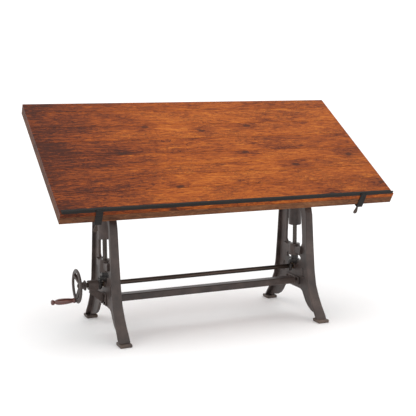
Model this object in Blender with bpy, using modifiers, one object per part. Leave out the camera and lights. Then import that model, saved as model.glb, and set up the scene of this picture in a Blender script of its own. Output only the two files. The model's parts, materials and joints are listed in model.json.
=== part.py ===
"""Crank-lift drafting table: tilting plank top on two cast-iron screw pedestals.

Metres, +Z up, the front edge of the top towards -Y, the crank on the -X side.
The height origin is the floor, and the screws stand at Y = 0 before the whole
table is centred on its own footprint at the end.
"""
import math

import bmesh
import bpy
from mathutils import Matrix, Vector

GAP = 0.0003             # clearance between touching pieces
RUN = 0.0003             # radial running clearance of shafts and screws

# table top, in its own frame: pivot at the origin, Y up the slope, Z square to the top
TOP_WIDTH = 1.8288
TOP_DEPTH = 0.9144
TOP_ABOVE_PIVOT = 0.1472
PLANK_THICK = 0.0217
RAIL_THICK = 0.038
RAIL_WIDTH = 0.070
BATTEN_WIDTH = 0.100
PLANK_SHARES = (0.093, 0.148, 0.142, 0.142, 0.107, 0.090, 0.118, 0.160)
TOP_TILT = math.radians(32)

# pencil ledge and its clamps
LEDGE_LENGTH = 1.812
LEDGE_FLANGE = 0.030
LEDGE_LIP = 0.0175
LEDGE_THICK = 0.003
CLAMP_PLACES = {"left": -0.727, "right": 0.722}
CLAMP_WIDTH = 0.035
CLAMP_THICK = 0.004
CLAMP_REACH = 0.030
CLAMP_DROP = 0.012
THUMB_SET = 0.0125
THUMB_LENGTH = 0.059

# pedestals
PEDESTAL_X = 0.5676
WEB_THICK = 0.014
FLANGE_THICK = 0.012
LEG_OUTLINE = ((0.316, 0.0173), (0.300, 0.041), (0.267, 0.083), (0.238, 0.126), (0.208, 0.184),
               (0.192, 0.265), (0.178, 0.410), (0.165, 0.575), (0.150, 0.622), (0.118, 0.652),
               (0.078, 0.664), (0.045, 0.668))
LEG_WIDTH_LOW, LEG_WIDTH_HIGH = 0.062, 0.042
PAD_SIZE = (0.064, 0.072, 0.017)
PAD_Y = 0.308
COLLAR_R, COLLAR_LOW, COLLAR_HIGH = 0.052, 0.605, 0.690
BRIDGE_LOW, BRIDGE_HIGH = 0.328, 0.378
BRIDGE_BOSS_R, BRIDGE_BOSS_HIGH = 0.033, 0.389
BRIDGE_HALF = 0.020

# lift screws, sleeves and nuts
SCREW_R = 0.013
SCREW_TOP = 0.680
THRUST_R, THRUST_DEEP = 0.022, 0.012
SLEEVE_R, SLEEVE_WALL = 0.036, 0.0075
SLEEVE_LOW, SLEEVE_HIGH = 0.499, 0.785
NUT_HIGH = 0.036

# crank shaft and bevel gears
SHAFT_Z = 0.2575
SHAFT_R = 0.0125
MODULE = 0.0034
PINION_TEETH, CROWN_TEETH = 16, 20
FACE_WIDTH = 0.012
PINION_BACK = MODULE * CROWN_TEETH / 2 + 0.0065     # from the shafts' crossing
CROWN_BACK = MODULE * PINION_TEETH / 2 + 0.0133
TOOTH_BACKLASH = 0.0005
WEB_BOSS_R, WEB_BOSS_HALF = 0.0195, 0.013
BUSH_R = 0.0160
STOP_R = 0.0165
BEARING_IN = PINION_BACK + 0.004
BEARING_OUT = BEARING_IN + 0.053
BEARING_HALF = 0.025

# handwheel, from the shaft's axis and outwards along -X
WHEEL_X = 0.7230
WHEEL_R, WHEEL_RIM, WHEEL_THICK = 0.091, 0.023, 0.014
WHEEL_HUB_IN = 0.678
SPOKE_HUB_WIDE, SPOKE_RIM_WIDE = 0.023, 0.025
WHEEL_HUB_R = 0.023
HANDLE_ANGLE = math.radians(281)
HANDLE_THROW = 0.0800
HANDLE_LENGTH = 0.128

# stretcher between the pedestals
STRETCHER_DEEP, STRETCHER_HIGH, STRETCHER_Z = 0.056, 0.038, 0.176

# tilt head and bracket
PIVOT_Z = 0.8312
TILT_SHAFT_R = 0.0125
LUG_HALF = 0.015
CHEEK_THICK = 0.010
CHEEK_GAP = 0.0006
CHEEK_END = 14         # degrees of cheek past the slot's low end; more would meet the head's flange
LOCK_RADIUS = 0.055
LOCK_ANGLE = math.radians(20)
LOCK_BOLT_R = 0.006
TILT_RANGE = (math.radians(0), math.radians(45))
PLATE_THICK = 0.008

ROUND, BIG_ROUND, SMALL_ROUND = 24, 28, 12    # sides of round pieces

PARTS = "drafting_table"
TOOLS = "cutters"


def clear_scene():
    for item in list(bpy.data.objects):
        bpy.data.objects.remove(item, do_unlink=True)
    for name in (PARTS, TOOLS):
        bpy.context.scene.collection.children.link(bpy.data.collections.new(name))


def material(name, colour, roughness, metallic):
    made = bpy.data.materials.new(name)
    made.use_nodes = True
    shader = made.node_tree.nodes["Principled BSDF"]
    shader.inputs["Base Color"].default_value = (*colour, 1)
    shader.inputs["Roughness"].default_value = roughness
    shader.inputs["Metallic"].default_value = metallic
    return made


def add_object(name, mesh, collection=TOOLS):
    item = bpy.data.objects.new(name, mesh)
    bpy.data.collections[collection].objects.link(item)
    return item


def from_bmesh(name, made):
    mesh = bpy.data.meshes.new(name)
    made.to_mesh(mesh)
    made.free()
    return add_object(name, mesh)


def box(name, low, high, bevel=0.0):
    """A box between two corners, its edges bevelled once."""
    low, high = Vector(low), Vector(high)
    made = bmesh.new()
    bmesh.ops.create_cube(made, size=1)
    bmesh.ops.scale(made, vec=high - low, verts=made.verts)
    bmesh.ops.translate(made, vec=(low + high) / 2, verts=made.verts)
    if bevel:
        bmesh.ops.bevel(made, geom=made.edges[:], offset=bevel, segments=1, profile=0.5,
                        affect="EDGES", material=-1)
    return from_bmesh(name, made)


def rod(name, start, end, radius, sides=ROUND, end_radius=None):
    """A round bar between two points, tapered when end_radius is given."""
    start, end = Vector(start), Vector(end)
    made = bmesh.new()
    bmesh.ops.create_cone(made, cap_ends=True, segments=sides, radius1=radius,
                          radius2=radius if end_radius is None else end_radius,
                          depth=(end - start).length)
    turn = Vector((0, 0, 1)).rotation_difference(end - start).to_matrix().to_4x4()
    bmesh.ops.transform(made, matrix=Matrix.Translation((start + end) / 2) @ turn, verts=made.verts)
    return from_bmesh(name, made)


def turned(name, profile, sides=ROUND, place=None):
    """A closed profile of (radius, height), outer side top to bottom, spun round Z."""
    made = bmesh.new()
    points = [made.verts.new((r, 0, z)) for r, z in profile]
    for a, b in zip(points, points[1:] + points[:1]):
        made.edges.new((a, b))
    item = from_bmesh(name, made)
    spin = item.modifiers.new("Screw", "SCREW")
    spin.steps = spin.render_steps = sides
    spin.use_merge_vertices = True
    spin.merge_threshold = 0.0001
    item = freeze(item)
    if place is not None:
        item.data.transform(place)
    return item


def plate(name, outline, holes, thick, place=None):
    """A flat outline with holes, drawn in XY and given its thickness along Z."""
    curve = bpy.data.curves.new(name, "CURVE")
    curve.dimensions = "2D"
    curve.fill_mode = "BOTH"
    curve.extrude = thick / 2
    for ring in [outline, *holes]:
        spline = curve.splines.new("POLY")
        spline.points.add(len(ring) - 1)
        for point, (x, y) in zip(spline.points, ring):
            point.co = (x, y, 0, 1)
        spline.use_cyclic_u = True
    item = freeze(add_object(name, curve))
    if place is not None:
        item.data.transform(place)
    return item


def freeze(item):
    """The evaluated shape as a plain mesh object, in place of the one given."""
    graph = bpy.context.evaluated_depsgraph_get()
    graph.update()
    mesh = bpy.data.meshes.new_from_object(item.evaluated_get(graph))
    made = bmesh.new()
    made.from_mesh(mesh)
    bmesh.ops.remove_doubles(made, verts=made.verts, dist=0.00001)
    bmesh.ops.recalc_face_normals(made, faces=made.faces)
    made.to_mesh(mesh)
    made.free()
    name = item.name
    bpy.data.objects.remove(item, do_unlink=True)
    return add_object(name, mesh)


def combine(base, adds=(), cuts=()):
    """Joins and cuts solids one after another, and leaves one plain mesh."""
    helpers = [(item, "UNION") for item in adds] + [(item, "DIFFERENCE") for item in cuts]
    for helper, operation in helpers:
        helper.hide_render = True
        helper.display_type = "WIRE"
        joint = base.modifiers.new("Boolean", "BOOLEAN")
        joint.operation = operation
        joint.solver = "EXACT"
        joint.object = helper
    base = freeze(base)
    for helper, _ in helpers:
        bpy.data.objects.remove(helper, do_unlink=True)
    return base


def part(name, item, finish, parent, smooth=40):
    """Names a finished solid, gives it its material, and puts it under its parent."""
    bpy.data.collections[TOOLS].objects.unlink(item)
    bpy.data.collections[PARTS].objects.link(item)
    item.name = item.data.name = name
    item.data.materials.clear()
    item.data.materials.append(finish)
    item.data.shade_smooth()
    item.data.set_sharp_from_angle(angle=math.radians(smooth))
    item.parent = parent
    return item


def pair_part(name, first, build, finish, parent, smooth=40):
    """The first of a pair is built, and the second shares its mesh."""
    made = add_object(name, first.data) if first else build()
    made = part(name, made, finish, parent, smooth)
    made.name = name
    return made


def empty(name, parent=None, location=(0, 0, 0), tilt=0.0):
    item = bpy.data.objects.new(name, None)
    bpy.context.scene.collection.objects.link(item)
    item.parent = parent
    item.location = location
    item.rotation_euler = (tilt, 0, 0)
    return item


def arc(radius, start, end, steps, centre=(0, 0)):
    """Points on an arc between two angles in degrees."""
    angles = [math.radians(start + (end - start) * i / steps) for i in range(steps + 1)]
    return [(centre[0] + radius * math.cos(a), centre[1] + radius * math.sin(a)) for a in angles]


def mirrored(points):
    """An outline's right half, followed by its left half."""
    return list(points) + [(-x, y) for x, y in reversed(points) if abs(x) > 1e-9]


# drawings made in XY stand up as side views: X -> Y, Y -> Z, thickness along X
SIDE_VIEW = Matrix(((0, 0, 1, 0), (1, 0, 0, 0), (0, 1, 0, 0), (0, 0, 0, 1)))
# drawings made in XY stand up as front views: X -> X, Y -> Z, thickness along Y
FRONT_VIEW = Matrix(((1, 0, 0, 0), (0, 0, -1, 0), (0, 1, 0, 0), (0, 0, 0, 1)))
# a turned piece's height runs along -X, from the shaft's axis outwards
ALONG_MINUS_X = Matrix.Rotation(math.radians(-90), 4, "Y")


# pedestals -------------------------------------------------------------------

def leg_normals():
    """For each point of the leg's outer face, the unit normal that points inwards."""
    normals = []
    count = len(LEG_OUTLINE)
    for i in range(count):
        before = Vector(LEG_OUTLINE[max(i - 1, 0)])
        after = Vector(LEG_OUTLINE[min(i + 1, count - 1)])
        along = (after - before).normalized()
        normals.append(Vector((-along.y, along.x)) if along.x < 0 else Vector((-1, 0)))
    return [n if n.x < 0 or n.y < 0 else -n for n in normals]


def leg_flange(side):
    """The leg's outer flange, lofted up the outline, with its long corners taken off."""
    corner = 0.003
    made = bmesh.new()
    rings = []
    for (y, z), normal in zip(LEG_OUTLINE, leg_normals()):
        share = min(max((z - 0.04) / 0.55, 0), 1)
        half = (LEG_WIDTH_LOW + (LEG_WIDTH_HIGH - LEG_WIDTH_LOW) * share ** 0.7) / 2
        level = Vector((-1, 0)) if z < 0.02 else normal
        section = [(half - corner, 0), (half, corner), (half, FLANGE_THICK)]
        section += [(-x, depth) for x, depth in reversed(section)]
        ring = []
        for x, depth in section:
            spot = Vector((y, z)) + level * depth
            ring.append(made.verts.new((x, side * spot.x, spot.y)))
        rings.append(ring)
    for low, high in zip(rings, rings[1:]):
        for i, j in zip(range(6), (1, 2, 3, 4, 5, 0)):
            made.faces.new((low[i], low[j], high[j], high[i]))
    made.faces.new(rings[0])
    made.faces.new(rings[-1])
    bmesh.ops.recalc_face_normals(made, faces=made.faces)
    return from_bmesh("flange", made)


def web_plate():
    """The pedestal's centre web: arch, leg webs, bridge and the yoke up to the collar."""
    skin = FLANGE_THICK / 2
    outer = [tuple(Vector(p) + n * skin) for p, n in zip(LEG_OUTLINE, leg_normals())]
    outer[0] = (LEG_OUTLINE[0][0] - skin, LEG_OUTLINE[0][1])
    arch = [(0.045, 0.140), (0.085, 0.139), (0.105, 0.131), (0.123, 0.108), (0.142, 0.083),
            (0.169, 0.060), (0.206, 0.042), (0.245, 0.034), (0.272, 0.026),
            (0.278, LEG_OUTLINE[0][1])]
    outline = mirrored(arch + outer)
    bridge_side = 0.097
    window = mirrored([(0.060, BRIDGE_HIGH + 0.001), (0.085, BRIDGE_HIGH + 0.008),
                       (bridge_side, BRIDGE_HIGH + 0.026), (0.096, 0.450), (0.084, 0.575),
                       (0.072, 0.596), (0.052, COLLAR_LOW)])
    gear_window = mirrored([(0.047, 0.266), (0.047, 0.298), (0.078, 0.302), (0.082, 0.318),
                            (0.070, BRIDGE_LOW), (0.036, BRIDGE_LOW + 0.004)])
    slots = [[(side * y, z) for y, z in ((0.104, 0.214), (0.117, 0.211), (0.126, 0.219),
                                         (0.124, 0.262), (0.114, 0.270), (0.103, 0.264))]
             for side in (-1, 1)]
    return plate("web", outline, [window, gear_window, *slots], WEB_THICK, SIDE_VIEW)


def pedestal_casting():
    thrust_floor = BRIDGE_BOSS_HIGH - THRUST_DEEP - GAP
    bridge = plate("bridge", mirrored([(0.094, BRIDGE_LOW + 0.014), (0.100, BRIDGE_HIGH + 0.006),
                                       (0.040, BRIDGE_HIGH - 0.002)]), [], 2 * BRIDGE_HALF,
                   SIDE_VIEW)
    reach = WEB_BOSS_HALF + 0.01
    return combine(
        web_plate(),
        adds=[leg_flange(-1), leg_flange(1), bridge,
              rod("bridge_boss", (0, 0, BRIDGE_LOW - 0.004), (0, 0, BRIDGE_BOSS_HIGH),
                  BRIDGE_BOSS_R + 0.002, ROUND, BRIDGE_BOSS_R - 0.003),
              rod("shaft_boss", (-WEB_BOSS_HALF, 0, SHAFT_Z), (WEB_BOSS_HALF, 0, SHAFT_Z),
                  WEB_BOSS_R),
              rod("collar", (0, 0, COLLAR_LOW), (0, 0, COLLAR_HIGH), COLLAR_R, BIG_ROUND)],
        cuts=[rod("sleeve_bore", (0, 0, COLLAR_LOW - 0.02), (0, 0, COLLAR_HIGH + 0.02),
                  SLEEVE_R + 2 * RUN, BIG_ROUND),
              rod("screw_bore", (0, 0, BRIDGE_LOW - 0.02), (0, 0, BRIDGE_BOSS_HIGH + 0.02),
                  SCREW_R + RUN),
              rod("thrust_seat", (0, 0, thrust_floor), (0, 0, BRIDGE_BOSS_HIGH + 0.02),
                  THRUST_R + RUN),
              rod("shaft_bore", (-reach, 0, SHAFT_Z), (reach, 0, SHAFT_Z), BUSH_R + GAP)])


def add_pedestals(base, iron, bronze):
    casting = None
    for side, x in (("left", -PEDESTAL_X), ("right", PEDESTAL_X)):
        casting = pair_part(f"pedestal_{side}", casting, pedestal_casting, iron, base)
        casting.location = (x, 0, 0)
        for end, y in (("front", -PAD_Y), ("back", PAD_Y)):
            wide, long, high = PAD_SIZE
            pad = box("pad", (-wide / 2, -long / 2, 0), (wide / 2, long / 2, high), 0.003)
            pad = part(f"foot_{side}_{end}", pad, iron, base)
            pad.location = (x, y, 0)
        bush = turned("bush", [(BUSH_R, WEB_BOSS_HALF + 0.001), (BUSH_R, -WEB_BOSS_HALF - 0.001),
                               (SHAFT_R + RUN, -WEB_BOSS_HALF - 0.001),
                               (SHAFT_R + RUN, WEB_BOSS_HALF + 0.001)], ROUND, ALONG_MINUS_X)
        bush = part(f"web_bush_{side}", bush, bronze, base)
        bush.location = (x, 0, SHAFT_Z)


# bolt holes ---------------------------------------------------------------------

def bolt_holes(places, axis, radius, reach):
    axis = Vector(axis)
    return [rod("hole", Vector(p) - axis * reach, Vector(p) + axis * reach, radius, SMALL_ROUND)
            for p in places]


# stretcher ---------------------------------------------------------------------

def add_stretcher(base, iron):
    inner = PEDESTAL_X - WEB_THICK / 2 - GAP
    ear_low, ear_high, ear_half, ear_thick = 0.160, 0.206, 0.074, 0.009
    low, high = STRETCHER_Z - STRETCHER_HIGH / 2, STRETCHER_Z + STRETCHER_HIGH / 2
    bar = box("bar", (-inner, -STRETCHER_DEEP / 2, low), (inner, STRETCHER_DEEP / 2, high), 0.004)
    spots = [(y, 0.190) for y in (-0.058, 0.058)]
    ears, holes = [], []
    for side in (-1, 1):
        x = side * (inner - ear_thick / 2)
        ears.append(box("ear", (x - ear_thick / 2, -ear_half, ear_low),
                        (x + ear_thick / 2, ear_half, ear_high), 0.003))
        holes += bolt_holes([(x, y, z) for y, z in spots], (1, 0, 0), 0.0053, 0.02)
    part("stretcher", combine(bar, adds=ears, cuts=holes), iron, base)


# bearing bracket on the crank side ------------------------------------------------

def add_bearing(base, iron, bronze):
    web_face = WEB_THICK / 2 + GAP
    flange = 0.008
    block = rod("block", (-BEARING_IN, 0, SHAFT_Z), (-BEARING_OUT, 0, SHAFT_Z), BEARING_HALF)
    foot = box("foot", (-BEARING_OUT + 0.006, -0.017, SHAFT_Z - BEARING_HALF - 0.004),
               (-BEARING_IN - 0.002, 0.017, SHAFT_Z), 0.002)
    low = SHAFT_Z - BEARING_HALF
    gusset = plate("gusset", [(-BEARING_OUT + 0.010, low + 0.004), (-0.090, low - 0.018),
                              (-web_face - 0.002, 0.148), (-web_face - 0.002, 0.206),
                              (-BEARING_IN - 0.002, low - 0.008), (-BEARING_IN - 0.002, low + 0.004)],
                   [], 0.016, FRONT_VIEW)
    seat = box("seat", (-web_face - flange, -0.036, 0.143), (-web_face, 0.036, 0.210), 0.003)
    spots = [(-web_face - flange, y, z) for y in (-0.023, 0.023) for z in (0.156, 0.196)]
    bore = rod("bore", (-BEARING_IN + 0.02, 0, SHAFT_Z), (-BEARING_OUT - 0.02, 0, SHAFT_Z),
               BUSH_R + GAP)
    bracket = combine(block, adds=[foot, gusset, seat],
                      cuts=[bore, *bolt_holes(spots, (1, 0, 0), 0.0053, 0.02)])
    bracket = part("bearing_bracket", bracket, iron, base)
    bracket.location = (-PEDESTAL_X, 0, 0)
    bush = turned("bush", [(BUSH_R, BEARING_OUT), (BUSH_R, BEARING_IN),
                           (SHAFT_R + RUN, BEARING_IN), (SHAFT_R + RUN, BEARING_OUT)],
                  ROUND, ALONG_MINUS_X)
    bush = part("bearing_bush", bush, bronze, base)
    bush.location = (-PEDESTAL_X, 0, SHAFT_Z)


# bevel gears ---------------------------------------------------------------------

def bevel_gear(teeth, mate, bore_r, back_high, hub_r, hub_high, phase):
    """A straight bevel gear with its apex at the origin and its back up +Z.

    The teeth are involutes on the back cone, drawn in towards the apex. All heights
    are from the apex. back_high is the flat back of the blank, hub_high the hub's end.
    """
    pitch_r, height = MODULE * teeth / 2, MODULE * mate / 2
    cone = math.hypot(pitch_r, height)
    cos_d, sin_d = height / cone, pitch_r / cone
    flat_r = pitch_r / cos_d
    base_r = flat_r * math.cos(math.radians(20))
    inward = (cone - FACE_WIDTH) / cone

    def involute(radius):
        lean = math.acos(min(base_r / radius, 1.0))
        return math.tan(lean) - lean

    half_pitch = (math.pi * MODULE / 2 - TOOTH_BACKLASH) / (2 * flat_r)

    def half_angle(radius):
        wide = half_pitch + involute(flat_r) - involute(max(radius, base_r))
        return max(wide, 0.1 * half_pitch) / cos_d

    levels = (-1.15 * MODULE, -0.05 * MODULE, 0.85 * MODULE)
    large, small = [], []
    made = bmesh.new()
    for tooth in range(teeth):
        centre = 2 * math.pi * (tooth + phase) / teeth
        flank = [(level, -half_angle(flat_r + level)) for level in levels]
        flank += [(level, -angle) for level, angle in reversed(flank)]
        for level, angle in flank:
            r, h = pitch_r + level * cos_d, height - level * sin_d
            turn = centre + angle
            spot = Vector((r * math.cos(turn), r * math.sin(turn), h))
            large.append(made.verts.new(spot))
            small.append(made.verts.new(spot * inward))
    root_large_r = pitch_r - 1.15 * MODULE * cos_d
    back_r = root_large_r - 0.002
    front_r = root_large_r * inward - 0.003
    front_h = (height + 1.15 * MODULE * sin_d) * inward + 0.0015

    def ring_like(loop, radius, h):
        made_ring = []
        for vert in loop:
            turn = math.atan2(vert.co.y, vert.co.x)
            made_ring.append(made.verts.new((radius * math.cos(turn), radius * math.sin(turn), h)))
        return made_ring

    back = ring_like(large, back_r, back_high)
    front = ring_like(small, front_r, front_h)
    count = len(large)
    for one, two in ((small, large), (large, back), (front, small)):
        for i in range(count):
            j = (i + 1) % count
            made.faces.new((one[i], one[j], two[j], two[i]))
    made.faces.new(back)
    made.faces.new(front)
    bmesh.ops.recalc_face_normals(made, faces=made.faces)
    blank = from_bmesh("gear", made)
    hub = rod("hub", (0, 0, back_high - 0.002), (0, 0, hub_high), hub_r)
    bore = rod("bore", (0, 0, 0), (0, 0, hub_high + 0.02), bore_r)
    return combine(blank, adds=[hub], cuts=[bore])


def crown_gear():
    return bevel_gear(CROWN_TEETH, PINION_TEETH, SCREW_R - 0.001 + GAP, CROWN_BACK, 0.021,
                      BRIDGE_LOW - 0.004 - GAP - SHAFT_Z, 0.5)


def pinion_gear():
    gear = bevel_gear(PINION_TEETH, CROWN_TEETH, SHAFT_R + GAP, PINION_BACK, 0.020,
                      BEARING_IN - 0.001, 0.0)
    gear.data.transform(ALONG_MINUS_X)
    return gear


# lift screws ---------------------------------------------------------------------

def add_screws(base, iron, steel):
    axes = {}
    journal = SCREW_R - 0.001
    shoulder = BRIDGE_LOW - 0.0035
    gear = None
    for side, x in (("left", -PEDESTAL_X), ("right", PEDESTAL_X)):
        axis = empty(f"screw_axis_{side}", base, (x, 0, 0))
        axes[side] = axis
        foot = SHAFT_Z + 0.0265
        screw = turned("screw", [(SCREW_R - 0.002, SCREW_TOP), (SCREW_R, SCREW_TOP - 0.002),
                                 (SCREW_R, shoulder + 0.001), (journal, shoulder),
                                 (journal, foot), (0, foot), (0, SCREW_TOP)])
        part(f"lift_screw_{side}", screw, steel, axis)
        seat = BRIDGE_BOSS_HIGH - THRUST_DEEP
        collar = turned("collar", [(THRUST_R - 0.001, BRIDGE_BOSS_HIGH + 0.001),
                                   (THRUST_R, BRIDGE_BOSS_HIGH), (THRUST_R, seat),
                                   (SCREW_R + GAP, seat), (SCREW_R + GAP, BRIDGE_BOSS_HIGH + 0.001)])
        part(f"thrust_collar_{side}", collar, steel, axis)
        gear = pair_part(f"crown_gear_{side}", gear, crown_gear, iron, axis, 30)
        gear.location = (0, 0, SHAFT_Z)
    return axes


# crank shaft, pinions and handwheel -------------------------------------------------

def wheel_rim():
    """The rim's rounded section, spun about the shaft's axis."""
    mid = WHEEL_R - WHEEL_RIM / 2
    half, deep, corner = WHEEL_THICK / 2, WHEEL_RIM / 2, 0.0045
    section = [(mid + deep - corner, half), (mid + deep, half - corner),
               (mid + deep, -half + corner), (mid + deep - corner, -half),
               (mid - deep + corner, -half), (mid - deep, -half + corner),
               (mid - deep, half - corner), (mid - deep + corner, half)]
    return turned("rim", section, 32)


def handwheel():
    """Rim, three dished spokes, hub and flange; height 0 is the rim's middle, out is -Z."""
    inner = -(WHEEL_X - WHEEL_HUB_IN)
    spokes = []
    for i in range(3):
        turn = HANDLE_ANGLE + i * 2 * math.pi / 3
        made = bmesh.new()
        bmesh.ops.create_cube(made, size=1)
        reach = WHEEL_R - WHEEL_RIM + 0.004
        for vert in made.verts:
            out = vert.co.x > 0
            vert.co = Vector((reach if out else 0.012,
                              vert.co.y * (SPOKE_RIM_WIDE if out else SPOKE_HUB_WIDE),
                              vert.co.z * 0.009 + (0.0 if out else 0.020)))
        long_edges = [e for e in made.edges if abs(e.verts[0].co.x - e.verts[1].co.x) > 0.02]
        bmesh.ops.bevel(made, geom=long_edges, offset=0.002, segments=1, profile=0.5,
                        affect="EDGES", material=-1)
        bmesh.ops.rotate(made, matrix=Matrix.Rotation(turn, 3, "Z"), verts=made.verts)
        spokes.append(from_bmesh("spoke", made))
    spot = Vector((HANDLE_THROW * math.cos(HANDLE_ANGLE), HANDLE_THROW * math.sin(HANDLE_ANGLE), 0))
    out = Vector((0, 0, -1))
    return combine(
        rod("hub", out * -0.0335, out * -0.008, WHEEL_HUB_R, ROUND, WHEEL_HUB_R - 0.003),
        adds=[rod("hub_flange", out * inner, out * -0.031, 0.0275),
              *spokes, wheel_rim(),
              rod("grip_boss", spot + out * -0.0055, spot + out * (WHEEL_THICK / 2 + 0.002),
                  0.0125, 16)],
        cuts=[rod("bore", out * -0.08, out * 0.02, SHAFT_R + GAP),
              rod("pin_hole", spot + out * -0.02, spot + out * 0.02, 0.0045 + GAP, SMALL_ROUND)])


def wheel_frame():
    """Stands a wheel drawn about Z up at its place on the shaft, its X along +Y."""
    return Matrix.Translation((-WHEEL_X, 0, 0)) @ SIDE_VIEW


def add_crank(base, iron, steel, wood):
    crank = empty("crank_axis", base, (0, 0, SHAFT_Z))
    hub_face = WHEEL_X - 0.008
    far_end = PEDESTAL_X + WEB_BOSS_HALF + 0.020
    shaft = rod("shaft", (-hub_face + 0.004, 0, 0), (far_end, 0, 0), SHAFT_R)
    part("cross_shaft", shaft, steel, crank)
    gear = None
    for side, x in (("left", -PEDESTAL_X), ("right", PEDESTAL_X)):
        gear = pair_part(f"pinion_{side}", gear, pinion_gear, iron, crank, 30)
        gear.location = (x, 0, 0)
    stop_in = PEDESTAL_X + WEB_BOSS_HALF + 0.0015
    stop = turned("stop", [(STOP_R, -stop_in), (STOP_R, -stop_in - 0.012),
                           (SHAFT_R + GAP, -stop_in - 0.012), (SHAFT_R + GAP, -stop_in)],
                  ROUND, ALONG_MINUS_X)
    part("shaft_stop", stop, steel, crank)

    wheel = handwheel()
    wheel.data.transform(wheel_frame())
    part("handwheel", wheel, iron, crank)
    nut = turned("nut", [(0, 0.0075), (0.006, 0.0068), (0.0105, 0.004), (0.0125, 0.0005),
                         (0.0125, 0), (0, 0)], 16,
                 Matrix.Translation((-hub_face - GAP, 0, 0)) @ ALONG_MINUS_X)
    part("wheel_cap", nut, steel, crank)

    grip_root = WHEEL_THICK / 2 + 0.002 + GAP
    spot = (HANDLE_THROW * math.cos(HANDLE_ANGLE), HANDLE_THROW * math.sin(HANDLE_ANGLE))
    place = Matrix.Translation((0, spot[0], spot[1])) @ wheel_frame()
    spindle = turned("spindle", [(0.0045, 0.0075), (0.0045, -0.118), (0, -0.118), (0, 0.0075)], SMALL_ROUND)
    spindle.data.transform(place)
    part("handle_spindle", spindle, steel, crank)

    axis = empty("handle_axis", crank, (-WHEEL_X - grip_root, spot[0], spot[1]))
    end = HANDLE_LENGTH
    outline = [(0, end), (0.0070, end - 0.001), (0.0120, end - 0.004), (0.0145, end - 0.0095),
               (0.0135, end - 0.0150), (0.0092, end - 0.0190), (0.0088, end - 0.0220),
               (0.0125, end - 0.0270), (0.0155, end - 0.0400), (0.0166, end - 0.0600),
               (0.0158, 0.0450), (0.0138, 0.0280), (0.0118, 0.0140), (0.0112, 0.0100),
               (0.0140, 0.0080), (0.0145, 0.0030), (0.0138, 0.0),
               (0.0045 + RUN, 0), (0.0045 + RUN, 0.114), (0, 0.114)]
    grip = turned("grip", outline, 18, ALONG_MINUS_X)
    part("handle_grip", grip, wood, axis)
    return crank


# lift sleeves, nuts and heads -------------------------------------------------------

def head_casting():
    """Spigot and flange on the sleeve, with one lug for the tilt shaft and the lock bolt."""
    seat = SLEEVE_HIGH + GAP
    low = seat + 0.013
    lock = (LOCK_RADIUS * math.cos(LOCK_ANGLE), PIVOT_Z + LOCK_RADIUS * math.sin(LOCK_ANGLE))
    lug_r, ear_r = 0.026, 0.0135
    outline = [(-0.034, low), (0.036, low), (0.046, PIVOT_Z - 0.010)]
    outline += arc(ear_r, -60, 120, 6, lock)
    outline += [(0.020, PIVOT_Z + 0.024)]
    outline += arc(lug_r, 70, 190, 6, (0, PIVOT_Z))
    lug = plate("lug", outline, [], 2 * LUG_HALF, SIDE_VIEW)
    inner = SLEEVE_R - SLEEVE_WALL - GAP
    flange = SLEEVE_R + 0.004
    base = turned("base", [(flange - 0.006, low + 0.002), (flange, low), (flange, seat), (inner, seat),
                           (inner, seat - 0.012), (0, seat - 0.012), (0, low + 0.002)])
    return combine(base, adds=[lug],
                   cuts=[rod("pivot", (-0.03, 0, PIVOT_Z), (0.03, 0, PIVOT_Z),
                             TILT_SHAFT_R + GAP),
                         rod("lock", (-0.03, *lock), (0.03, *lock), LOCK_BOLT_R + GAP, SMALL_ROUND)])


def add_lift(base, iron, steel, bronze):
    """Everything that rises together; every piece keeps its floor-based height."""
    lift = empty("lift_axis", base)
    inner = SLEEVE_R - SLEEVE_WALL
    lock = (LOCK_RADIUS * math.cos(LOCK_ANGLE), PIVOT_Z + LOCK_RADIUS * math.sin(LOCK_ANGLE))
    head = None
    for side, x in (("left", -PEDESTAL_X), ("right", PEDESTAL_X)):
        sleeve = turned("sleeve", [(SLEEVE_R, SLEEVE_HIGH), (SLEEVE_R, SLEEVE_LOW + 0.002),
                                   (SLEEVE_R - 0.002, SLEEVE_LOW), (inner, SLEEVE_LOW),
                                   (inner, SLEEVE_HIGH)], BIG_ROUND)
        sleeve = part(f"lift_sleeve_{side}", sleeve, iron, lift)
        sleeve.location.x = x
        nut_low = SLEEVE_LOW + 0.004
        nut = turned("nut", [(inner - GAP, nut_low + NUT_HIGH), (inner - GAP, nut_low),
                             (SCREW_R + RUN, nut_low), (SCREW_R + RUN, nut_low + NUT_HIGH)])
        nut = part(f"lift_nut_{side}", nut, bronze, lift)
        nut.location.x = x
        head = pair_part(f"tilt_head_{side}", head, head_casting, iron, lift)
        head.location.x = x
        out = -1 if side == "left" else 1
        reach = LUG_HALF + CHEEK_GAP + CHEEK_THICK
        bolt_in, bolt_out = -reach - 0.003, reach + 0.016
        bolt = rod("bolt", (out * bolt_in, *lock), (out * bolt_out, *lock), LOCK_BOLT_R - 0.0005, SMALL_ROUND)
        nut_head = rod("head", (out * (bolt_in - 0.006), *lock), (out * (bolt_in + 0.001), *lock),
                       0.0115, 6)
        bolt = part(f"lock_bolt_{side}", combine(bolt, adds=[nut_head]), steel, lift, 30)
        bolt.location.x = x
    end = PEDESTAL_X + LUG_HALF + CHEEK_GAP + CHEEK_THICK + 0.012
    shaft = rod("tilt_shaft", (-end, 0, 0), (end, 0, 0), TILT_SHAFT_R)
    shaft = part("tilt_shaft", shaft, steel, lift)
    shaft.location.z = PIVOT_Z

    for side, out in (("left", -1), ("right", 1)):
        add_lever(side, out, lift, lock, steel, iron)
    return lift


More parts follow.
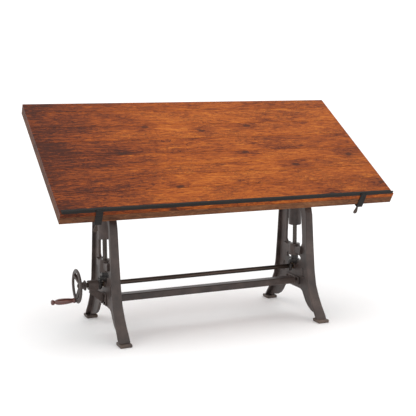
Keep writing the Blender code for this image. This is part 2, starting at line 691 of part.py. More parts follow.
def add_lever(side, out, lift, lock, steel, iron):
    """The lock lever: a hub on the bolt's end, a bent arm and a ball, pointing down the back."""
    face = LUG_HALF + CHEEK_GAP + CHEEK_THICK + 0.0008
    axis = empty(f"lock_axis_{side}", lift, (out * (PEDESTAL_X + face), *lock))
    hub = rod("hub", (0, 0, 0), (out * 0.013, 0, 0), 0.0135, 16)
    reach, drop = 0.078, math.radians(-45)
    end = Vector((out * 0.022, reach * math.cos(drop), reach * math.sin(drop)))
    root = Vector((out * 0.0065, 0.009 * math.cos(drop), 0.009 * math.sin(drop)))
    arm = rod("arm", root, end, 0.0062, 10, 0.0048)
    made = bmesh.new()
    bmesh.ops.create_uvsphere(made, u_segments=14, v_segments=8, radius=0.0115)
    bmesh.ops.translate(made, vec=end + (end - root).normalized() * 0.008, verts=made.verts)
    ball = from_bmesh("ball", made)
    bore = rod("bore", (-out * 0.01, 0, 0), (out * 0.03, 0, 0), LOCK_BOLT_R + GAP, SMALL_ROUND)
    part(f"lock_lever_{side}", combine(hub, adds=[arm, ball], cuts=[bore]), iron, axis)


# tilting top ---------------------------------------------------------------------

def top_bracket():
    """Plate under the batten and two cheeks either side of the lug, in the top's frame."""
    under = TOP_ABOVE_PIVOT - PLANK_THICK - GAP - RAIL_THICK
    high = under - GAP
    low = high - PLATE_THICK
    start = math.degrees(LOCK_ANGLE - TILT_RANGE[1])
    end = math.degrees(LOCK_ANGLE - TILT_RANGE[0])
    outline = [(-0.048, low + 0.001), (-0.026, 0.010)]
    outline += arc(0.026, 180, 360 + start - CHEEK_END, 6)
    outline += arc(LOCK_RADIUS + 0.014, start - CHEEK_END, end + 30, 6)
    outline += [(0.056, low + 0.001)]
    half = LOCK_BOLT_R + 0.0012
    slot = arc(LOCK_RADIUS + half, start - 1, end + 1, 6)
    slot += arc(half, end + 40, end + 180, 4, (LOCK_RADIUS * math.cos(math.radians(end + 1)),
                                              LOCK_RADIUS * math.sin(math.radians(end + 1))))
    slot += arc(LOCK_RADIUS - half, end + 1, start - 1, 6)
    slot += arc(half, start + 220, start + 330, 4, (LOCK_RADIUS * math.cos(math.radians(start - 1)),
                                                   LOCK_RADIUS * math.sin(math.radians(start - 1))))
    cheeks = []
    for side in (-1, 1):
        x = side * (LUG_HALF + CHEEK_GAP + CHEEK_THICK / 2)
        cheeks.append(plate("cheek", outline, [slot], CHEEK_THICK,
                            Matrix.Translation((x, 0, 0)) @ SIDE_VIEW))
    spots = [(x, y, low) for x in (-0.034, 0.034) for y in (-0.064, 0.064)]
    slab = box("slab", (-0.044, -0.076, low), (0.044, 0.076, high), 0.002)
    return combine(slab, adds=cheeks,
                   cuts=[rod("pivot", (-0.05, 0, 0), (0.05, 0, 0), TILT_SHAFT_R + RUN),
                         *bolt_holes(spots, (0, 0, 1), 0.0043, 0.02)])


def add_top(lift, wood, iron, steel):
    tilt = empty("tilt_axis", lift, (0, 0, PIVOT_Z), TOP_TILT)
    top = TOP_ABOVE_PIVOT
    rail_high = top - PLANK_THICK - GAP
    rail_low = rail_high - RAIL_THICK
    half_x, half_y = TOP_WIDTH / 2, TOP_DEPTH / 2

    shares = sum(PLANK_SHARES)
    back = half_y
    for i, share in enumerate(PLANK_SHARES):
        front = back - TOP_DEPTH * share / shares
        cut_back = GAP / 2 if i else 0
        cut_front = GAP / 2 if i < len(PLANK_SHARES) - 1 else 0
        plank = box("plank", (-half_x, front + cut_front, top - PLANK_THICK),
                    (half_x, back - cut_back, top), 0.001)
        part(f"top_plank_{i + 1}", plank, wood, tilt)
        back = front

    inner_y = half_y - RAIL_WIDTH
    rails = {
        "front_rail": ((-half_x, -half_y), (half_x, -inner_y)),
        "back_rail": ((-half_x, inner_y), (half_x, half_y)),
        "end_rail_left": ((-half_x, -inner_y + GAP), (-half_x + RAIL_WIDTH, inner_y - GAP)),
        "end_rail_right": ((half_x - RAIL_WIDTH, -inner_y + GAP), (half_x, inner_y - GAP)),
    }
    for side, x in (("left", -PEDESTAL_X), ("centre", 0), ("right", PEDESTAL_X)):
        rails[f"batten_{side}"] = ((x - BATTEN_WIDTH / 2, -inner_y + GAP),
                                   (x + BATTEN_WIDTH / 2, inner_y - GAP))
    for name, (low, high) in rails.items():
        rail = box("rail", (*low, rail_low), (*high, rail_high), 0.001)
        part(name, rail, wood, tilt)

    bracket = None
    for side, x in (("left", -PEDESTAL_X), ("right", PEDESTAL_X)):
        bracket = pair_part(f"top_bracket_{side}", bracket, top_bracket, iron, tilt)
        bracket.location.x = x
    add_ledge(tilt, steel, half_y, top, rail_low)
    return tilt


def add_ledge(tilt, steel, half_y, top, under):
    """The angle along the front edge, the clamps that hold it, and their thumbscrews."""
    floor, lip = top + GAP, top + GAP + LEDGE_LIP
    outline = [(-half_y, floor), (-half_y + LEDGE_FLANGE, floor),
               (-half_y + LEDGE_FLANGE, floor + LEDGE_THICK),
               (-half_y + LEDGE_THICK, floor + LEDGE_THICK), (-half_y + LEDGE_THICK, lip),
               (-half_y, lip)]
    ledge = plate("ledge", outline, [], LEDGE_LENGTH, SIDE_VIEW)
    part("pencil_ledge", ledge, steel, tilt)

    outer = -half_y - GAP - CLAMP_THICK
    finger_high = under - CLAMP_DROP
    finger_low = finger_high - CLAMP_THICK
    screw_y = -half_y + THUMB_SET
    for side, x in CLAMP_PLACES.items():
        lip_top = lip - 0.0015
        strap = plate("strap", [(outer, lip_top), (outer, finger_low),
                                (-half_y + CLAMP_REACH, finger_low),
                                (-half_y + CLAMP_REACH, finger_high),
                                (-half_y - GAP, finger_high), (-half_y - GAP, lip_top)], [],
                      CLAMP_WIDTH, SIDE_VIEW)
        boss = rod("boss", (0, screw_y, finger_low - 0.006), (0, screw_y, finger_low + 0.001),
                   0.0085, 16)
        rivets = []
        for rx in (-0.010, 0.010):
            rivets.append(rod("rivet", (rx, outer + 0.001, lip_top - 0.006),
                              (rx, outer - 0.0018, lip_top - 0.006), 0.0034, 8, 0.0018))
        hole = rod("hole", (0, screw_y, finger_low - 0.02), (0, screw_y, finger_high + 0.01),
                   0.0042 + RUN, SMALL_ROUND)
        clamp = part(f"ledge_clamp_{side}", combine(strap, adds=[boss, *rivets], cuts=[hole]),
                     steel, tilt)
        clamp.location.x = x

        axis = empty(f"thumb_axis_{side}", tilt, (x, screw_y, 0))
        tip = under - GAP
        shank_low = finger_low - 0.014
        pad = rod("pad", (0, 0, tip - 0.003), (0, 0, tip), 0.009, SMALL_ROUND)
        shank = rod("shank", (0, 0, shank_low), (0, 0, tip - 0.002), 0.0042, SMALL_ROUND)
        neck = rod("neck", (0, 0, finger_low - 0.012), (0, 0, finger_low - 0.0075), 0.0065, SMALL_ROUND)
        spade_low = finger_low - THUMB_LENGTH
        spade_mid = spade_low + 0.0115
        spade = arc(0.0115, -200, 20, 8, (0, spade_mid)) + [(0.0042, shank_low + 0.0015),
                                                             (-0.0042, shank_low + 0.0015)]
        head = plate("spade", spade, [], 0.0038, FRONT_VIEW)
        thumb = combine(shank, adds=[pad, neck, head])
        part(f"thumbscrew_{side}", thumb, steel, axis)


def centre_on_footprint(base):
    """Moves the whole table so that the middle of its footprint is at X = Y = 0."""
    graph = bpy.context.evaluated_depsgraph_get()
    graph.update()
    low, high = math.inf, -math.inf
    for item in bpy.data.collections[PARTS].objects:
        for vert in item.data.vertices:
            y = (item.matrix_world @ vert.co).y
            low, high = min(low, y), max(high, y)
    base.location.y = -(low + high) / 2
    graph.update()
    print(f"screws stand at Y {base.location.y:.6f}")


def main():
    clear_scene()
    cast_iron = material("cast iron", (0.058, 0.047, 0.042), 0.5, 0.6)
    dark_steel = material("dark steel", (0.045, 0.044, 0.046), 0.42, 0.8)
    bright_steel = material("screw steel", (0.11, 0.10, 0.095), 0.35, 0.9)
    bronze = material("bronze", (0.42, 0.26, 0.10), 0.35, 1.0)
    top_wood = material("top wood", (0.34, 0.10, 0.028), 0.45, 0.0)
    grip_wood = material("grip wood", (0.12, 0.03, 0.012), 0.35, 0.0)

    base = empty("table_base")
    add_pedestals(base, cast_iron, bronze)
    add_stretcher(base, cast_iron)
    add_bearing(base, cast_iron, bronze)
    add_screws(base, cast_iron, bright_steel)
    add_crank(base, cast_iron, dark_steel, grip_wood)
    lift = add_lift(base, cast_iron, dark_steel, bronze)
    add_top(lift, top_wood, cast_iron, dark_steel)
    centre_on_footprint(base)


main()
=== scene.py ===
# %% [markdown]
# # A cranked drafting table
# The table is two cast-iron pedestals with a wide plank top that tilts and lifts. The frame that
# we load has every part at its true size and place, and knows which parts move together. Our job
# is the surface: rounded edges, threads, turned wood, grain and old iron.

import json
import math

import bmesh
import bpy
from mathutils import Matrix, Vector


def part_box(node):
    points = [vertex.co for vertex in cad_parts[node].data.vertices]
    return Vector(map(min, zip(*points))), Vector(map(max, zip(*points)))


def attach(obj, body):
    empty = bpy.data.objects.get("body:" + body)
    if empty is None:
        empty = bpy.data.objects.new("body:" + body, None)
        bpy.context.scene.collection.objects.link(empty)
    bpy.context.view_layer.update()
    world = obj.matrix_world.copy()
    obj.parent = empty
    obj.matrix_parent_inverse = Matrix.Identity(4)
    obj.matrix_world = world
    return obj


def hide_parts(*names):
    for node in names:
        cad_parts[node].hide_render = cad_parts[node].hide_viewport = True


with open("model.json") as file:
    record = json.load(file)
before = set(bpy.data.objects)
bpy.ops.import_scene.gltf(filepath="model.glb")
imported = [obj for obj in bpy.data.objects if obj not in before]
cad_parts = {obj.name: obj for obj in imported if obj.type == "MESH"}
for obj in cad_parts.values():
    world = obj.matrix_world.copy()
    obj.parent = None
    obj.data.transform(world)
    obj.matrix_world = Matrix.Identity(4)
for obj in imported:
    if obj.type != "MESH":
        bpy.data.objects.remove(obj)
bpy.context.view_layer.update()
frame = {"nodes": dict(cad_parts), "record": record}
joints = {j["name"]: j for j in frame["record"]["behaviour"]["joints"]}
print("parts in the frame:", len(frame["nodes"]))

# %% [markdown]
# Colours are easiest to pick as the hex codes that a paint program shows, but Blender's sockets
# want linear light, so one function turns the first into the second. A second small function adds
# a node, sets its fields and links what it is given. All the finishes below are written with it.

# %% Colour and node helpers
def colour(code):
    """An sRGB hex code as linear RGBA."""
    parts = [int(code[i:i + 2], 16) / 255 for i in (0, 2, 4)]
    return tuple(p / 12.92 if p <= 0.04045 else ((p + 0.055) / 1.055) ** 2.4 for p in parts) + (1,)


def add(tree, kind, sockets=None, **settings):
    """Adds one node; a socket's value is a number, a colour or another node's output."""
    node = tree.nodes.new(kind)
    for key, value in settings.items():
        setattr(node, key, value)
    for key, value in (sockets or {}).items():
        if isinstance(value, bpy.types.NodeSocket):
            tree.links.new(value, node.inputs[key])
        else:
            node.inputs[key].default_value = value
    return node


def ramp(tree, source, *stops):
    """A colour ramp through (position, colour) stops."""
    node = add(tree, "ShaderNodeValToRGB", {"Fac": source})
    points = node.color_ramp.elements
    while len(points) < len(stops):
        points.new(0.5)
    for point, (place, shade) in zip(points, stops):
        point.position, point.color = place, shade
    return node.outputs["Color"]


def new_finish(name, **sockets):
    """A material with one Principled shader, and the tree to build on."""
    made = bpy.data.materials.new(name)
    made.use_nodes = True
    shader = made.node_tree.nodes["Principled BSDF"]
    for key, value in sockets.items():
        shader.inputs[key.replace("_", " ")].default_value = value
    return made, made.node_tree, shader


print("helpers ready")

# %% [markdown]
# The pedestals are grey iron poured in sand, then blackened and waxed. Sand leaves a skin of
# grains about 1.5 mm across, and the wax lies unevenly, in brown patches a hand wide. Cast skin
# scatters light, so it is rough and barely metallic, and where hands rub it, it turns paler.

# %% Sand-cast iron
def cast_iron_finish(name, dark, mid, pale, roughness):
    made, tree, shader = new_finish(name, Metallic=0.15, Roughness=roughness)
    place = add(tree, "ShaderNodeTexCoord").outputs["Object"]
    patches = add(tree, "ShaderNodeTexNoise", {"Vector": place, "Scale": 9.0, "Detail": 5.0,
                                               "Roughness": 0.6})
    grains = add(tree, "ShaderNodeTexNoise", {"Vector": place, "Scale": 620.0, "Detail": 2.0})
    both = add(tree, "ShaderNodeMath", {0: patches.outputs["Fac"], 1: 0.78}, operation="MULTIPLY")
    speck = add(tree, "ShaderNodeMath", {0: grains.outputs["Fac"], 1: 0.22, 2: both.outputs[0]},
                operation="MULTIPLY_ADD")
    tree.links.new(ramp(tree, speck.outputs[0], (0.34, colour(dark)), (0.52, colour(mid)),
                        (0.70, colour(pale))), shader.inputs["Base Color"])
    sheen = add(tree, "ShaderNodeMapRange", {"Value": patches.outputs["Fac"], "From Min": 0.3,
                                             "From Max": 0.7, "To Min": roughness - 0.08,
                                             "To Max": roughness + 0.10})
    tree.links.new(sheen.outputs["Result"], shader.inputs["Roughness"])
    lumps = add(tree, "ShaderNodeTexNoise", {"Vector": place, "Scale": 70.0, "Detail": 3.0})
    coarse = add(tree, "ShaderNodeBump", {"Height": lumps.outputs["Fac"], "Strength": 0.25,
                                          "Distance": 0.0012})
    fine = add(tree, "ShaderNodeBump", {"Height": grains.outputs["Fac"], "Strength": 0.35,
                                        "Distance": 0.0004, "Normal": coarse.outputs["Normal"]})
    tree.links.new(fine.outputs["Normal"], shader.inputs["Normal"])
    return made


cast_iron = cast_iron_finish("sand-cast iron, blackened", "2c2522", "453a36", "5c4f4a", 0.50)
# The gear iron is oiled and dark, and is painted darker still, near black, as painted shade for the gears
# deep inside the pedestals.
gear_iron_with_painted_shade = cast_iron_finish("machined gear iron, oiled, darkened as painted shade", "120f0e", "201b19", "3b3431", 0.38)
foot_iron = cast_iron_finish("cast iron foot, scuffed", "3a302c", "54473f", "6f5f55", 0.55)
print("iron finishes: 3")

# %% [markdown]
# Rolled and turned steel is smoother. Long faint scratches run along the piece, and oil turns it
# nearly black with a brown cast. The same recipe serves the ledge, the shafts and the screws: the
# scratches are drawn out along X for the ledge and both shafts, and along Z for the screws.

# %% Blackened steel
def steel_finish(name, dark, pale, roughness, metallic, stretch, gloss=0.5):
    made, tree, shader = new_finish(name, Metallic=metallic, Roughness=roughness,
                                    Specular_IOR_Level=gloss)
    place = add(tree, "ShaderNodeTexCoord").outputs["Object"]
    along = add(tree, "ShaderNodeMapping", {"Vector": place, "Scale": stretch})
    scratches = add(tree, "ShaderNodeTexNoise", {"Vector": along.outputs["Vector"], "Scale": 1.0,
                                                 "Detail": 6.0, "Roughness": 0.65})
    tree.links.new(ramp(tree, scratches.outputs["Fac"], (0.30, colour(dark)),
                        (0.72, colour(pale))), shader.inputs["Base Color"])
    sheen = add(tree, "ShaderNodeMapRange", {"Value": scratches.outputs["Fac"],
                                             "From Min": 0.3, "From Max": 0.7,
                                             "To Min": roughness - 0.06, "To Max": roughness + 0.08})
    tree.links.new(sheen.outputs["Result"], shader.inputs["Roughness"])
    bump = add(tree, "ShaderNodeBump", {"Height": scratches.outputs["Fac"], "Strength": 0.12,
                                        "Distance": 0.0003})
    tree.links.new(bump.outputs["Normal"], shader.inputs["Normal"])
    return made


ledge_steel = steel_finish("rolled steel angle, blackened", "161413", "2a2725", 0.50, 0.20,
                           (8, 240, 240), 0.15)
shaft_steel = steel_finish("turned steel shaft, oiled", "241e1b", "51433b", 0.30, 0.75, (6, 90, 90))
screw_steel = steel_finish("cut screw steel, greased", "2e2a28", "6b645e", 0.30, 0.85, (90, 90, 12))
bearing_bronze = steel_finish("turned bearing bronze", "4c3518", "86672f", 0.34, 0.9, (60, 60, 60))
print("steel and bronze finishes: 4")

# %% [markdown]
# The top is wide planks of a knotty hardwood, planed, stained honey-brown and oiled. Four things
# make planks read as wood: fibres about 2 mm apart running the whole length, slow figure that
# wanders across them, dark knots that the grain flows round, and fine dark checks. Each plank holds
# its own number in an attribute, which shifts every pattern, so that no two neighbours match. The
# board is tilted, so a Mapping node first turns the pattern into the board's own frame.

# %% Stained hardwood
pivot = Vector(joints["top_tilt"]["pos_m"])
board_up = Vector(frame["record"]["mounts"][1]["axis"]).normalized()
tilt_angle = math.atan2(-board_up.y, board_up.z)
unturn = Matrix.Rotation(-tilt_angle, 3, "X")


def hardwood_finish(name, tones, roughness, knots=1.0, gloss=0.30):
    made, tree, shader = new_finish(name, Roughness=roughness, Specular_IOR_Level=gloss, IOR=1.5)
    place = add(tree, "ShaderNodeTexCoord").outputs["Object"]
    board = add(tree, "ShaderNodeMapping", {"Vector": place, "Location": -(unturn @ pivot),
                                            "Rotation": (-tilt_angle, 0, 0)}).outputs["Vector"]
    number = add(tree, "ShaderNodeAttribute", attribute_name="plank").outputs["Fac"]
    jump = add(tree, "ShaderNodeCombineXYZ", {
        "X": add(tree, "ShaderNodeMath", {0: number, 1: 1.37}, operation="MULTIPLY").outputs[0],
        "Y": add(tree, "ShaderNodeMath", {0: number, 1: 0.61}, operation="MULTIPLY").outputs[0]})
    own = add(tree, "ShaderNodeVectorMath", {0: board, 1: jump.outputs[0]}, operation="ADD").outputs[0]

    def noise(scale, detail, roughness=0.55, distortion=0.0, vector=own):
        sized = add(tree, "ShaderNodeMapping", {"Vector": vector, "Scale": scale})
        return add(tree, "ShaderNodeTexNoise", {"Vector": sized.outputs["Vector"], "Scale": 1.0,
                                                "Detail": detail, "Roughness": roughness,
                                                "Distortion": distortion}).outputs["Fac"]

    def sums(*terms):
        total = 0.0
        for value, weight in terms:
            total = add(tree, "ShaderNodeMath", {0: value, 1: weight, 2: total},
                        operation="MULTIPLY_ADD").outputs[0]
        return total

    def step(value, low, high, to_low=0.0, to_high=1.0):
        return add(tree, "ShaderNodeMapRange", {"Value": value, "From Min": low, "From Max": high,
                                                "To Min": to_low, "To Max": to_high},
                   interpolation_type="SMOOTHSTEP").outputs["Result"]

    def times(a, b):
        return add(tree, "ShaderNodeMath", {0: a, 1: b}, operation="MULTIPLY").outputs[0]

    slow = noise((1.6, 6.0, 6.0), 6, 0.66, 1.2)
    figure = noise((10.0, 84.0, 84.0), 7, 0.74, 1.8)
    fibres = noise((11.0, 430.0, 430.0), 3)
    swirl = noise((13.0, 30.0, 30.0), 7, 0.72, 3.2)

    bent = add(tree, "ShaderNodeVectorMath", {0: own, 1: add(tree, "ShaderNodeCombineXYZ", {
        "X": times(swirl, 0.06), "Y": times(figure, 0.04)}).outputs[0]}, operation="ADD").outputs[0]
    cell = add(tree, "ShaderNodeMapping", {"Vector": bent, "Scale": (3.1, 5.6, 0.0)})
    spots = add(tree, "ShaderNodeTexVoronoi", {"Vector": cell.outputs["Vector"], "Scale": 1.0},
                feature="F1", voronoi_dimensions="2D")
    chosen = add(tree, "ShaderNodeSeparateColor", {"Color": spots.outputs["Color"]}).outputs["Red"]
    picked = step(chosen, 0.48, 0.55)
    knot = times(step(spots.outputs["Distance"], 0.030, 0.120, 1.0, 0.0), picked)
    halo = times(step(spots.outputs["Distance"], 0.05, 0.42, 1.0, 0.0), picked)

    # A wilder, darker figure gathers in patches, round the knots above all.
    wild = times(step(noise((1.9, 4.2, 4.2), 3), 0.50, 0.66), step(swirl, 0.44, 0.30))
    # Painted shade: the top is darkened towards its left end, standing in for the light falling off there.
    board_x = add(tree, "ShaderNodeSeparateXYZ", {"Vector": board}).outputs["X"]
    painted_shade_left = step(board_x, -0.95, -0.20, 1.0, 0.0)
    per_plank = add(tree, "ShaderNodeTexWhiteNoise", {"W": number}, noise_dimensions="1D").outputs["Value"]
    even = ((slow, 0.80), (figure, 1.70), (fibres, 0.45), (swirl, 0.75), (per_plank, 0.12))
    darker = ((halo, -0.16 * knots), (wild, -0.42 * knots), (painted_shade_left, -0.34 * knots))
    # The even patterns each average one half, so half the sum of their weights is taken off again.
    level = 0.5 - sum(weight for _, weight in even) / 2 + 0.02 * knots
    tone = sums(*even, *darker, (1.0, level))
    shade = ramp(tree, tone, *[(p, colour(c)) for p, c in tones])

    streak = noise((5.5, 90.0, 90.0), 6, 0.72, 1.4)
    dark = step(streak, 0.57, 0.70, 0.0, 0.70)
    inked = add(tree, "ShaderNodeMix", {0: dark, 6: shade, 7: colour("4a2410")}, data_type="RGBA")
    # Fine dark checks are the lines where a twisted noise crosses its middle value.
    wander = noise((9.0, 34.0, 34.0), 5, 0.62, 2.6)
    ridge = add(tree, "ShaderNodeMath", {0: wander, 1: 0.5}, operation="SUBTRACT").outputs[0]
    ridge = add(tree, "ShaderNodeMath", {0: ridge}, operation="ABSOLUTE").outputs[0]
    where = step(noise((2.6, 7.0, 7.0), 3), 0.46, 0.56)
    checks = times(times(step(ridge, 0.006, 0.026, 1.0, 0.0), where), 0.75 * knots)
    inked = add(tree, "ShaderNodeMix", {0: checks, 6: inked.outputs[2], 7: colour("33160a")},
                data_type="RGBA")
    pit = add(tree, "ShaderNodeMapRange", {"Value": knot, "From Min": 0.35, "From Max": 0.95,
                                           "To Min": 0.0, "To Max": 0.8 * knots}).outputs["Result"]
    done = add(tree, "ShaderNodeMix", {0: pit, 6: inked.outputs[2], 7: colour("35180a")},
               data_type="RGBA")
    tree.links.new(done.outputs[2], shader.inputs["Base Color"])
    bump = add(tree, "ShaderNodeBump", {"Height": fibres, "Strength": 0.18, "Distance": 0.0004})
    tree.links.new(bump.outputs["Normal"], shader.inputs["Normal"])
    return made


top_tones = ((0.10, "3a1404"), (0.28, "662a07"), (0.46, "873e0c"), (0.64, "a05113"), (0.88, "bd6d24"))
# The frame's tones are the planks' wood made darker and duller, as painted shade on the frame's faces
# turned down and forward.
frame_tones_painted_shade = ((0.10, "3a2114"), (0.34, "563421"), (0.58, "6f462b"), (0.90, "875c3e"))
top_wood = hardwood_finish("hardwood planks, stained and oiled", top_tones, 0.52, gloss=0.14)
frame_wood_painted_shade = hardwood_finish("hardwood frame, stained, darkened as painted shade", frame_tones_painted_shade, 0.58, knots=0.4, gloss=0.12)
print("board tilt: %.1f degrees" % math.degrees(tilt_angle))

# %% [markdown]
# The crank's grip is a dense red-brown wood turned on a lathe and polished. Turned wood shows its
# fibres along the grip, and its polish gives one narrow highlight, so it has the glossiest coat.

# %% Turned grip wood
def turned_wood_finish():
    made, tree, shader = new_finish("turned rosewood grip, polished", Roughness=0.30,
                                    Coat_Weight=0.6, Coat_Roughness=0.16, IOR=1.5)
    place = add(tree, "ShaderNodeTexCoord").outputs["Object"]
    along = add(tree, "ShaderNodeMapping", {"Vector": place, "Scale": (16, 260, 260)})
    fibres = add(tree, "ShaderNodeTexNoise", {"Vector": along.outputs["Vector"], "Scale": 1.0,
                                              "Detail": 5.0, "Distortion": 0.5})
    tree.links.new(ramp(tree, fibres.outputs["Fac"], (0.30, colour("341510")),
                        (0.52, colour("55281d")), (0.75, colour("70392a"))),
                   shader.inputs["Base Color"])
    bump = add(tree, "ShaderNodeBump", {"Height": fibres.outputs["Fac"], "Strength": 0.1,
                                        "Distance": 0.0003})
    tree.links.new(bump.outputs["Normal"], shader.inputs["Normal"])
    return made


grip_wood = turned_wood_finish()
print("grip finish ready")

# %% [markdown]
# Nothing real has a knife-sharp edge: castings are filleted, timber is eased with a plane. A crisp
# part of the frame is copied, its loose triangles are welded into whole faces, and every edge that
# turns sharply is bevelled. The copy then rides with the same body and stands for the part.

# %% Easing the edges of a part
body_of_node = {n: b for b, ns in frame["record"]["behaviour"]["bodies"].items() for n in ns}


def finish_piece(shape, name, finish, body, smooth=38):
    """Makes an object of a bmesh, shades it and lets it ride with a body."""
    mesh = bpy.data.meshes.new(name)
    shape.to_mesh(mesh)
    shape.free()
    mesh.materials.append(finish)
    mesh.shade_smooth()
    mesh.set_sharp_from_angle(angle=math.radians(smooth))
    piece = bpy.data.objects.new(name, mesh)
    bpy.context.scene.collection.objects.link(piece)
    weights = piece.modifiers.new("even shading", "WEIGHTED_NORMAL")
    weights.keep_sharp = True
    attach(piece, body)
    return piece


def eased(node, finish, width, rounds=2, sharp=35, number=None):
    """A bevelled copy of one part, standing for it."""
    shape = bmesh.new()
    shape.from_mesh(frame["nodes"][node].data)
    bmesh.ops.remove_doubles(shape, verts=shape.verts, dist=0.00002)
    bmesh.ops.dissolve_limit(shape, angle_limit=math.radians(0.6), verts=shape.verts,
                             edges=shape.edges)
    edges = [e for e in shape.edges if len(e.link_faces) == 2
             and e.calc_face_angle(0) > math.radians(sharp)]
    bmesh.ops.bevel(shape, geom=edges, offset=width, segments=rounds, profile=0.5,
                    affect="EDGES", material=-1, clamp_overlap=True)
    piece = finish_piece(shape, node + "_eased", finish, body_of_node[node])
    if number is not None:
        held = piece.data.attributes.new("plank", "FLOAT", "POINT")
        held.data.foreach_set("value", [number] * len(piece.data.vertices))
    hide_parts(node)
    return piece


print("bodies:", sorted(set(body_of_node.values())))

# %% [markdown]
# The planks keep a 0.8 mm eased edge, so each seam is a fine dark line. The frame below them is deeper
# and rougher, painted darker as shade on faces turned down, and shows as a second layer round the top's
# edge.

# %% Planks and the frame under them
planks = [eased(f"top_plank_{i}", top_wood, 0.0008, number=i * 1.0) for i in range(1, 9)]
rails = ["front_rail", "back_rail", "end_rail_left", "end_rail_right",
         "batten_left", "batten_centre", "batten_right"]
frame_pieces = [eased(name, frame_wood_painted_shade, 0.0015, number=20.0 + i) for i, name in enumerate(rails)]
print("wooden pieces:", len(planks) + len(frame_pieces))

# %% [markdown]
# The iron castings come next. A fillet on a casting this size is 1 to 3 mm, while small machined
# pieces are only broken at the edge.

# %% Castings, steelwork and fittings
eased_parts = {
    "pedestal_left": (cast_iron, 0.0016), "pedestal_right": (cast_iron, 0.0016),
    "foot_left_front": (foot_iron, 0.0030), "foot_left_back": (foot_iron, 0.0030),
    "foot_right_front": (foot_iron, 0.0030), "foot_right_back": (foot_iron, 0.0030),
    "stretcher": (cast_iron, 0.0012), "bearing_bracket": (cast_iron, 0.0012),
    "tilt_head_left": (cast_iron, 0.0010), "tilt_head_right": (cast_iron, 0.0010),
    "top_bracket_left": (cast_iron, 0.0010), "top_bracket_right": (cast_iron, 0.0010),
    "pencil_ledge": (ledge_steel, 0.0006), "ledge_clamp_left": (ledge_steel, 0.0006),
    "ledge_clamp_right": (ledge_steel, 0.0006), "thumbscrew_left": (shaft_steel, 0.0005),
    "thumbscrew_right": (shaft_steel, 0.0005), "lock_lever_left": (shaft_steel, 0.0006),
    "lock_lever_right": (shaft_steel, 0.0006), "lock_bolt_left": (shaft_steel, 0.0006),
    "lock_bolt_right": (shaft_steel, 0.0006), "crown_gear_left": (gear_iron_with_painted_shade, 0.0004),
    "crown_gear_right": (gear_iron_with_painted_shade, 0.0004), "pinion_left": (gear_iron_with_painted_shade, 0.0004),
    "pinion_right": (gear_iron_with_painted_shade, 0.0004),
}
for name, (finish, width) in eased_parts.items():
    eased(name, finish, width)
print("eased metal pieces:", len(eased_parts))

# %% [markdown]
# Round pieces are spun from their outline, just as a lathe would make them. The outline is a short
# row of (radius, height) points, and `spin` carries it right round an axis in many fine steps.

# %% Turning a piece on a lathe
def lathe(outline, centre, axis, steps=64):
    """A bmesh of an outline (radius, distance along axis) spun round the axis through centre."""
    axis = Vector(axis).normalized()
    side = axis.orthogonal().normalized()
    shape = bmesh.new()
    points = [shape.verts.new(Vector(centre) + side * r + axis * h) for r, h in outline]
    edges = [shape.edges.new((a, b)) for a, b in zip(points, points[1:])]
    closed = (outline[0][0] > 0 or outline[-1][0] > 0)
    if closed:
        edges.append(shape.edges.new((points[-1], points[0])))
    bmesh.ops.spin(shape, geom=points + edges, cent=centre, axis=axis, angle=math.tau,
                   steps=steps, use_merge=True, use_duplicate=False)
    bmesh.ops.remove_doubles(shape, verts=shape.verts, dist=0.00001)
    bmesh.ops.recalc_face_normals(shape, faces=shape.faces)
    return shape


def stand_for(piece, node):
    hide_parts(node)
    return piece


def middle(node):
    low, high = (Vector(v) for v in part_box(node))
    return (low + high) / 2, low, high


for side in ("left", "right"):
    mid, low, high = middle(f"lift_sleeve_{side}")
    outer = (high.x - low.x) / 2
    inner = outer - 0.0075
    sleeve = lathe([(outer, high.z), (outer, low.z + 0.003), (outer - 0.0012, low.z + 0.0012),
                    (outer - 0.003, low.z), (inner, low.z), (inner, high.z)],
                   (mid.x, mid.y, 0), (0, 0, 1))
    stand_for(finish_piece(sleeve, f"sleeve_turned_{side}", cast_iron, "lift"), f"lift_sleeve_{side}")


def turned_shaft(node, body, chamfer):
    """A plain shaft along X with chamfered ends."""
    mid, low, high = middle(node)
    radius = (high.z - low.z) / 2
    stock = lathe([(0, low.x), (radius - chamfer, low.x), (radius, low.x + chamfer),
                   (radius, high.x - chamfer), (radius - chamfer, high.x), (0, high.x)],
                  (0, mid.y, mid.z), (1, 0, 0), 48)
    stand_for(finish_piece(stock, node + "_turned", shaft_steel, body), node)


turned_shaft("cross_shaft", "crank", 0.0012)
turned_shaft("tilt_shaft", "lift", 0.0015)
print("turned sleeves and shafts: 4")

# %% [markdown]
# The grip is the piece that a hand meets: a fat middle, a waist, and a round knob at its end. The
# outline has more points than the frame's, so its curve is smooth where light slides along it.

# %% The turned grip
grip_at = joints["handle_spin"]["pos_m"]
_, low, high = middle("handle_grip")
length = high.x - low.x
profile = [(0.0, 1.0), (0.0045, 0.998), (0.0088, 0.990), (0.0122, 0.972), (0.0142, 0.945),
           (0.0145, 0.920), (0.0136, 0.885), (0.0112, 0.862), (0.0092, 0.848), (0.0088, 0.828),
           (0.0104, 0.806), (0.0128, 0.780), (0.0146, 0.735), (0.0157, 0.680), (0.0164, 0.610),
           (0.0166, 0.530), (0.0163, 0.440), (0.0157, 0.350), (0.0147, 0.270), (0.0135, 0.200),
           (0.0123, 0.140), (0.0114, 0.100), (0.0113, 0.080), (0.0130, 0.068), (0.0142, 0.052),
           (0.0145, 0.030), (0.0141, 0.012), (0.0134, 0.0), (0.0050, 0.0), (0.0050, 0.890),
           (0.0, 0.890)]
grip = lathe([(r, -high.x + h * length) for r, h in profile], (0, grip_at[1], grip_at[2]),
             (-1, 0, 0), 48)
stand_for(finish_piece(grip, "grip_turned", grip_wood, "grip", 50), "handle_grip")
print("grip length: %.0f mm" % (length * 1000))

# %% [markdown]
# A lift screw has a left-hand thread with two starts, so one turn moves the nut 10 mm while the
# ridges are only 5 mm apart. A ridge is a small trapezium carried round the rod while it climbs,
# which is what `spin` does when it is also given a step along its axis.

